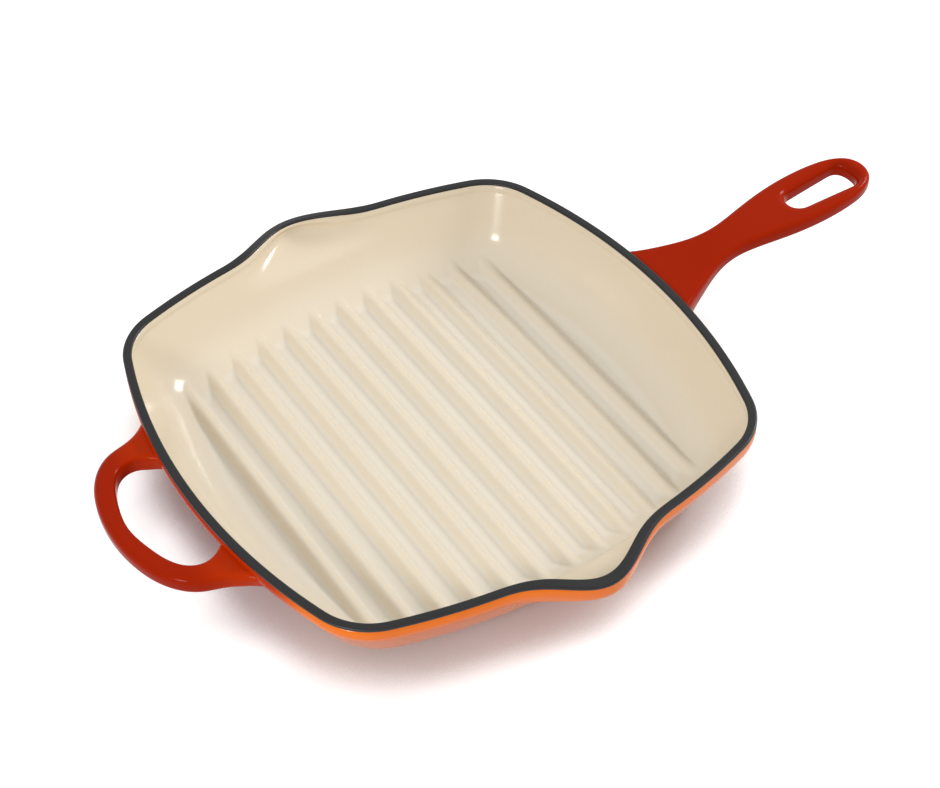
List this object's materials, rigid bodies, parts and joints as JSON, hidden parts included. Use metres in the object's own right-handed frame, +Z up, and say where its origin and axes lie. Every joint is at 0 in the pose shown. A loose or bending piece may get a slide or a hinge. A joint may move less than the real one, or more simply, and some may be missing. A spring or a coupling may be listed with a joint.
{
  "type": "grill pan",
  "caption": "Square cast-iron grill pan with a ribbed floor, pouring lips, a long looped handle and a helper handle, enamelled all over.",
  "frame": {"origin": "centre of the flat underside, on which the pan stands", "axes": "+X along the long handle, +Z up out of the bowl, pouring lips at +Y and -Y"},
  "size_m": [0.426, 0.2876, 0.0551],
  "materials": {
    "iron": "matte",
    "flame_enamel": "gloss",
    "cream_enamel": "gloss",
    "black_enamel": "satin",
    "base_enamel": "satin"
  },
  "bodies": {
    "root": {"bowl_casting": "iron", "long_handle_casting": "iron", "helper_handle_casting": "iron", "outer_enamel": "flame_enamel", "long_handle_enamel": "flame_enamel", "helper_handle_enamel": "flame_enamel", "inner_enamel": "cream_enamel", "rim_enamel": "black_enamel", "base_enamel": "base_enamel"}
  },
  "joints": []
}
